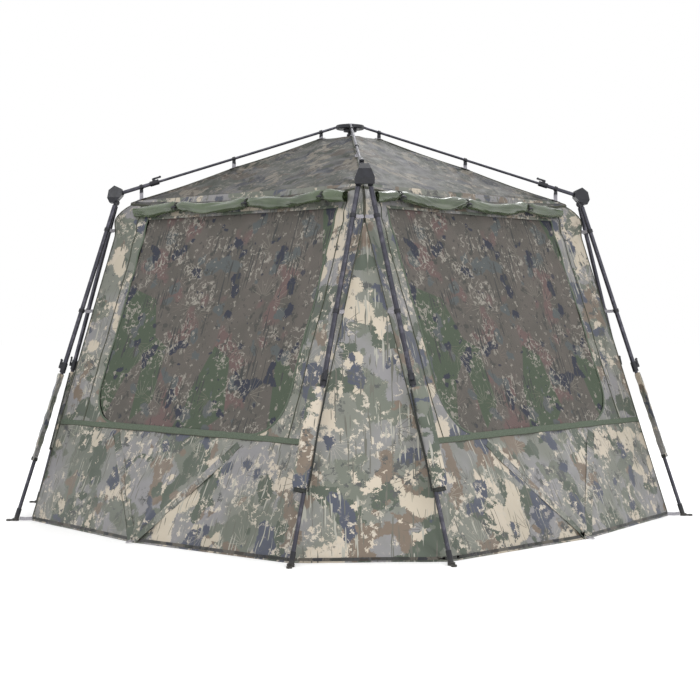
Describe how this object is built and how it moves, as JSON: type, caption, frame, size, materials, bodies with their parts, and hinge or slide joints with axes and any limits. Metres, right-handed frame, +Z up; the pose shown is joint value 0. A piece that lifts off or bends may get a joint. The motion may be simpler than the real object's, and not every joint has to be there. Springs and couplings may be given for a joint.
{
  "type": "pop-up screen shelter",
  "caption": "Pop-up ground blind or screen shelter: a folding outside pole frame with a central hub carries a camouflage canopy with mesh windows and peg-down feet.",
  "frame": {"origin": "on the ground at the middle of the plan", "axes": "+Z up; the window walls face -Y (front), +X (right), +Y (back) and -X (left); the frame's corners lie on the diagonals"},
  "size_m": [2.978, 2.978, 2],
  "materials": {
    "pole_tube": "dark anodised tube",
    "pin_steel": "bare steel pin",
    "frame_plastic": "moulded dark navy grey plastic",
    "lever_plastic": "moulded dark grey plastic",
    "window_mesh": "printed insect screen mesh",
    "storm_roll": "coated green inside of the storm panel, glossy",
    "roof_fabric": "woven camouflage print",
    "wall_fabric": "woven camouflage print",
    "webbing": "woven webbing"
  },
  "bodies": {
    "hub_and_canopy": {"hub_body": "frame_plastic", "hub_cap": "frame_plastic", "hub_hinge_pins": "pin_steel", "roof_canopy": "roof_fabric", "side_wall_front": "wall_fabric", "side_wall_right": "wall_fabric", "side_wall_back": "wall_fabric", "side_wall_left": "wall_fabric", "corner_panel_front_right": "wall_fabric", "corner_panel_back_right": "wall_fabric", "corner_panel_back_left": "wall_fabric", "corner_panel_front_left": "wall_fabric", "rolled_storm_panels": "storm_roll", "canopy_hang_straps": "webbing", "pole_clip_tabs": "webbing", "hem_straps_and_loops": "webbing"},
    "arm_front_right": {"arm_inner_tube_front_right": "pole_tube"},
    "arm_end_front_right": {"arm_outer_tube_front_right": "pole_tube", "knuckle_front_right": "frame_plastic"},
    "arm_lever_front_right": {"arm_lock_lever_front_right": "lever_plastic"},
    "leg_front_wall_right": {"upper_leg_front_wall_right": "pole_tube"},
    "foot_front_wall_right": {"lower_leg_front_wall_right": "pole_tube"},
    "leg_lever_front_wall_right": {"leg_lock_lever_front_wall_right": "lever_plastic"},
    "leg_right_wall_front": {"upper_leg_right_wall_front": "pole_tube"},
    "foot_right_wall_front": {"lower_leg_right_wall_front": "pole_tube"},
    "leg_lever_right_wall_front": {"leg_lock_lever_right_wall_front": "lever_plastic"},
    "arm_back_right": {"arm_inner_tube_back_right": "pole_tube"},
    "arm_end_back_right": {"arm_outer_tube_back_right": "pole_tube", "knuckle_back_right": "frame_plastic"},
    "arm_lever_back_right": {"arm_lock_lever_back_right": "lever_plastic"},
    "leg_right_wall_back": {"upper_leg_right_wall_back": "pole_tube"},
    "foot_right_wall_back": {"lower_leg_right_wall_back": "pole_tube"},
    "leg_lever_right_wall_back": {"leg_lock_lever_right_wall_back": "lever_plastic"},
    "leg_back_wall_right": {"upper_leg_back_wall_right": "pole_tube"},
    "foot_back_wall_right": {"lower_leg_back_wall_right": "pole_tube"},
    "leg_lever_back_wall_right": {"leg_lock_lever_back_wall_right": "lever_plastic"},
    "arm_back_left": {"arm_inner_tube_back_left": "pole_tube"},
    "arm_end_back_left": {"arm_outer_tube_back_left": "pole_tube", "knuckle_back_left": "frame_plastic"},
    "arm_lever_back_left": {"arm_lock_lever_back_left": "lever_plastic"},
    "leg_back_wall_left": {"upper_leg_back_wall_left": "pole_tube"},
    "foot_back_wall_left": {"lower_leg_back_wall_left": "pole_tube"},
    "leg_lever_back_wall_left": {"leg_lock_lever_back_wall_left": "lever_plastic"},
    "leg_left_wall_back": {"upper_leg_left_wall_back": "pole_tube"},
    "foot_left_wall_back": {"lower_leg_left_wall_back": "pole_tube"},
    "leg_lever_left_wall_back": {"leg_lock_lever_left_wall_back": "lever_plastic"},
    "arm_front_left": {"arm_inner_tube_front_left": "pole_tube"},
    "arm_end_front_left": {"arm_outer_tube_front_left": "pole_tube", "knuckle_front_left": "frame_plastic"},
    "arm_lever_front_left": {"arm_lock_lever_front_left": "lever_plastic"},
    "leg_left_wall_front": {"upper_leg_left_wall_front": "pole_tube"},
    "foot_left_wall_front": {"lower_leg_left_wall_front": "pole_tube"},
    "leg_lever_left_wall_front": {"leg_lock_lever_left_wall_front": "lever_plastic"},
    "leg_front_wall_left": {"upper_leg_front_wall_left": "pole_tube"},
    "foot_front_wall_left": {"lower_leg_front_wall_left": "pole_tube"},
    "leg_lever_front_wall_left": {"leg_lock_lever_front_wall_left": "lever_plastic"},
    "window_front": {"mesh_window_front": "window_mesh"},
    "window_right": {"mesh_window_right": "window_mesh"},
    "window_back": {"mesh_window_back": "window_mesh"},
    "window_left": {"mesh_window_left": "window_mesh"}
  },
  "joints": [
    {"name": "arm_fold_front_right", "type": "hinge", "parent": "hub_and_canopy", "child": "arm_front_right", "pos_m": [0.04243, -0.04243, 1.985], "axis": [-0.7071, -0.7071, 0], "range_deg": [0, 99], "deforming": ["roof_canopy", "side_wall_front", "side_wall_right", "side_wall_back", "side_wall_left", "corner_panel_front_right", "corner_panel_back_right", "corner_panel_back_left", "corner_panel_front_left", "rolled_storm_panels", "canopy_hang_straps", "pole_clip_tabs", "hem_straps_and_loops", "mesh_window_front", "mesh_window_right", "mesh_window_back", "mesh_window_left"]},
    {"name": "arm_length_front_right", "type": "slide", "parent": "arm_front_right", "child": "arm_end_front_right", "axis": [-0.6753, 0.6753, 0.2964], "range_m": [0, 0.06]},
    {"name": "arm_lever_open_front_right", "type": "hinge", "parent": "arm_end_front_right", "child": "arm_lever_front_right", "pos_m": [0.7169, -0.7169, 1.70995], "axis": [0.7071, 0.7071, 0], "range_deg": [0, 95]},
    {"name": "leg_fold_front_wall_right", "type": "hinge", "parent": "arm_end_front_right", "child": "leg_front_wall_right", "pos_m": [0.83368, -0.86903, 1.59], "axis": [0.646, 0.7356, -0.204], "range_deg": [0, 119]},
    {"name": "leg_length_front_wall_right", "type": "slide", "parent": "leg_front_wall_right", "child": "foot_front_wall_right", "axis": [-0.068, 0.3217, 0.9444], "range_m": [0, 0.28]},
    {"name": "leg_lever_open_front_wall_right", "type": "hinge", "parent": "leg_front_wall_right", "child": "leg_lever_front_wall_right", "pos_m": [0.90965, -1.16827, 0.75175], "axis": [0.646, 0.7356, -0.204], "range_deg": [0, 95]},
    {"name": "leg_fold_right_wall_front", "type": "hinge", "parent": "arm_end_front_right", "child": "leg_right_wall_front", "pos_m": [0.86903, -0.83368, 1.59], "axis": [0.7356, 0.646, 0.204], "range_deg": [0, 119]},
    {"name": "leg_length_right_wall_front", "type": "slide", "parent": "leg_right_wall_front", "child": "foot_right_wall_front", "axis": [-0.3217, 0.068, 0.9444], "range_m": [0, 0.28]},
    {"name": "leg_lever_open_right_wall_front", "type": "hinge", "parent": "leg_right_wall_front", "child": "leg_lever_right_wall_front", "pos_m": [1.16827, -0.90965, 0.75175], "axis": [0.7356, 0.646, 0.204], "range_deg": [0, 95]},
    {"name": "arm_fold_back_right", "type": "hinge", "parent": "hub_and_canopy", "child": "arm_back_right", "pos_m": [0.04243, 0.04243, 1.985], "axis": [0.7071, -0.7071, 0], "range_deg": [0, 99]},
    {"name": "arm_length_back_right", "type": "slide", "parent": "arm_back_right", "child": "arm_end_back_right", "axis": [-0.6753, -0.6753, 0.2964], "range_m": [0, 0.06]},
    {"name": "arm_lever_open_back_right", "type": "hinge", "parent": "arm_end_back_right", "child": "arm_lever_back_right", "pos_m": [0.7169, 0.7169, 1.70995], "axis": [-0.7071, 0.7071, 0], "range_deg": [0, 95]},
    {"name": "leg_fold_right_wall_back", "type": "hinge", "parent": "arm_end_back_right", "child": "leg_right_wall_back", "pos_m": [0.86903, 0.83368, 1.59], "axis": [-0.7356, 0.646, -0.204], "range_deg": [0, 119]},
    {"name": "leg_length_right_wall_back", "type": "slide", "parent": "leg_right_wall_back", "child": "foot_right_wall_back", "axis": [-0.3217, -0.068, 0.9444], "range_m": [0, 0.28]},
    {"name": "leg_lever_open_right_wall_back", "type": "hinge", "parent": "leg_right_wall_back", "child": "leg_lever_right_wall_back", "pos_m": [1.16827, 0.90965, 0.75175], "axis": [-0.7356, 0.646, -0.204], "range_deg": [0, 95]},
    {"name": "leg_fold_back_wall_right", "type": "hinge", "parent": "arm_end_back_right", "child": "leg_back_wall_right", "pos_m": [0.83368, 0.86903, 1.59], "axis": [-0.646, 0.7356, 0.204], "range_deg": [0, 119]},
    {"name": "leg_length_back_wall_right", "type": "slide", "parent": "leg_back_wall_right", "child": "foot_back_wall_right", "axis": [-0.068, -0.3217, 0.9444], "range_m": [0, 0.28]},
    {"name": "leg_lever_open_back_wall_right", "type": "hinge", "parent": "leg_back_wall_right", "child": "leg_lever_back_wall_right", "pos_m": [0.90965, 1.16827, 0.75175], "axis": [-0.646, 0.7356, 0.204], "range_deg": [0, 95]},
    {"name": "arm_fold_back_left", "type": "hinge", "parent": "hub_and_canopy", "child": "arm_back_left", "pos_m": [-0.04243, 0.04243, 1.985], "axis": [0.7071, 0.7071, 0], "range_deg": [0, 99]},
    {"name": "arm_length_back_left", "type": "slide", "parent": "arm_back_left", "child": "arm_end_back_left", "axis": [0.6753, -0.6753, 0.2964], "range_m": [0, 0.06]},
    {"name": "arm_lever_open_back_left", "type": "hinge", "parent": "arm_end_back_left", "child": "arm_lever_back_left", "pos_m": [-0.7169, 0.7169, 1.70995], "axis": [-0.7071, -0.7071, 0], "range_deg": [0, 95]},
    {"name": "leg_fold_back_wall_left", "type": "hinge", "parent": "arm_end_back_left", "child": "leg_back_wall_left", "pos_m": [-0.83368, 0.86903, 1.59], "axis": [-0.646, -0.7356, -0.204], "range_deg": [0, 119]},
    {"name": "leg_length_back_wall_left", "type": "slide", "parent": "leg_back_wall_left", "child": "foot_back_wall_left", "axis": [0.068, -0.3217, 0.9444], "range_m": [0, 0.28]},
    {"name": "leg_lever_open_back_wall_left", "type": "hinge", "parent": "leg_back_wall_left", "child": "leg_lever_back_wall_left", "pos_m": [-0.90965, 1.16827, 0.75175], "axis": [-0.646, -0.7356, -0.204], "range_deg": [0, 95]},
    {"name": "leg_fold_left_wall_back", "type": "hinge", "parent": "arm_end_back_left", "child": "leg_left_wall_back", "pos_m": [-0.86903, 0.83368, 1.59], "axis": [-0.7356, -0.646, 0.204], "range_deg": [0, 119]},
    {"name": "leg_length_left_wall_back", "type": "slide", "parent": "leg_left_wall_back", "child": "foot_left_wall_back", "axis": [0.3217, -0.068, 0.9444], "range_m": [0, 0.28]},
    {"name": "leg_lever_open_left_wall_back", "type": "hinge", "parent": "leg_left_wall_back", "child": "leg_lever_left_wall_back", "pos_m": [-1.16827, 0.90965, 0.75175], "axis": [-0.7356, -0.646, 0.204], "range_deg": [0, 95]},
    {"name": "arm_fold_front_left", "type": "hinge", "parent": "hub_and_canopy", "child": "arm_front_left", "pos_m": [-0.04243, -0.04243, 1.985], "axis": [-0.7071, 0.7071, 0], "range_deg": [0, 99]},
    {"name": "arm_length_front_left", "type": "slide", "parent": "arm_front_left", "child": "arm_end_front_left", "axis": [0.6753, 0.6753, 0.2964], "range_m": [0, 0.06]},
    {"name": "arm_lever_open_front_left", "type": "hinge", "parent": "arm_end_front_left", "child": "arm_lever_front_left", "pos_m": [-0.7169, -0.7169, 1.70995], "axis": [0.7071, -0.7071, 0], "range_deg": [0, 95]},
    {"name": "leg_fold_left_wall_front", "type": "hinge", "parent": "arm_end_front_left", "child": "leg_left_wall_front", "pos_m": [-0.86903, -0.83368, 1.59], "axis": [0.7356, -0.646, -0.204], "range_deg": [0, 119]},
    {"name": "leg_length_left_wall_front", "type": "slide", "parent": "leg_left_wall_front", "child": "foot_left_wall_front", "axis": [0.3217, 0.068, 0.9444], "range_m": [0, 0.28]},
    {"name": "leg_lever_open_left_wall_front", "type": "hinge", "parent": "leg_left_wall_front", "child": "leg_lever_left_wall_front", "pos_m": [-1.16827, -0.90965, 0.75175], "axis": [0.7356, -0.646, -0.204], "range_deg": [0, 95]},
    {"name": "leg_fold_front_wall_left", "type": "hinge", "parent": "arm_end_front_left", "child": "leg_front_wall_left", "pos_m": [-0.83368, -0.86903, 1.59], "axis": [0.646, -0.7356, 0.204], "range_deg": [0, 119]},
    {"name": "leg_length_front_wall_left", "type": "slide", "parent": "leg_front_wall_left", "child": "foot_front_wall_left", "axis": [0.068, 0.3217, 0.9444], "range_m": [0, 0.28]},
    {"name": "leg_lever_open_front_wall_left", "type": "hinge", "parent": "leg_front_wall_left", "child": "leg_lever_front_wall_left", "pos_m": [-0.90965, -1.16827, 0.75175], "axis": [0.646, -0.7356, 0.204], "range_deg": [0, 95]},
    {"name": "window_swing_front", "type": "hinge", "parent": "leg_front_wall_left", "child": "window_front", "pos_m": [0, -0.80253, 1.50052], "axis": [-1, 0, 0], "range_deg": [0, 66]},
    {"name": "window_swing_right", "type": "hinge", "parent": "leg_right_wall_front", "child": "window_right", "pos_m": [0.80253, 0, 1.50052], "axis": [0, -1, 0], "range_deg": [0, 66]},
    {"name": "window_swing_back", "type": "hinge", "parent": "leg_back_wall_right", "child": "window_back", "pos_m": [0, 0.80253, 1.50052], "axis": [1, 0, 0], "range_deg": [0, 66]},
    {"name": "window_swing_left", "type": "hinge", "parent": "leg_left_wall_back", "child": "window_left", "pos_m": [-0.80253, 0, 1.50052], "axis": [0, 1, 0], "range_deg": [0, 66]}
  ],
  "couplings": [
    {"joint": "leg_fold_front_wall_right", "follows": "arm_fold_front_right", "ratio": 1.2},
    {"joint": "leg_fold_right_wall_front", "follows": "arm_fold_front_right", "ratio": 1.2},
    {"joint": "arm_fold_back_right", "follows": "arm_fold_front_right", "ratio": 1},
    {"joint": "leg_fold_right_wall_back", "follows": "arm_fold_front_right", "ratio": 1.2},
    {"joint": "leg_fold_back_wall_right", "follows": "arm_fold_front_right", "ratio": 1.2},
    {"joint": "arm_fold_back_left", "follows": "arm_fold_front_right", "ratio": 1},
    {"joint": "leg_fold_back_wall_left", "follows": "arm_fold_front_right", "ratio": 1.2},
    {"joint": "leg_fold_left_wall_back", "follows": "arm_fold_front_right", "ratio": 1.2},
    {"joint": "arm_fold_front_left", "follows": "arm_fold_front_right", "ratio": 1},
    {"joint": "leg_fold_left_wall_front", "follows": "arm_fold_front_right", "ratio": 1.2},
    {"joint": "leg_fold_front_wall_left", "follows": "arm_fold_front_right", "ratio": 1.2}
  ]
}
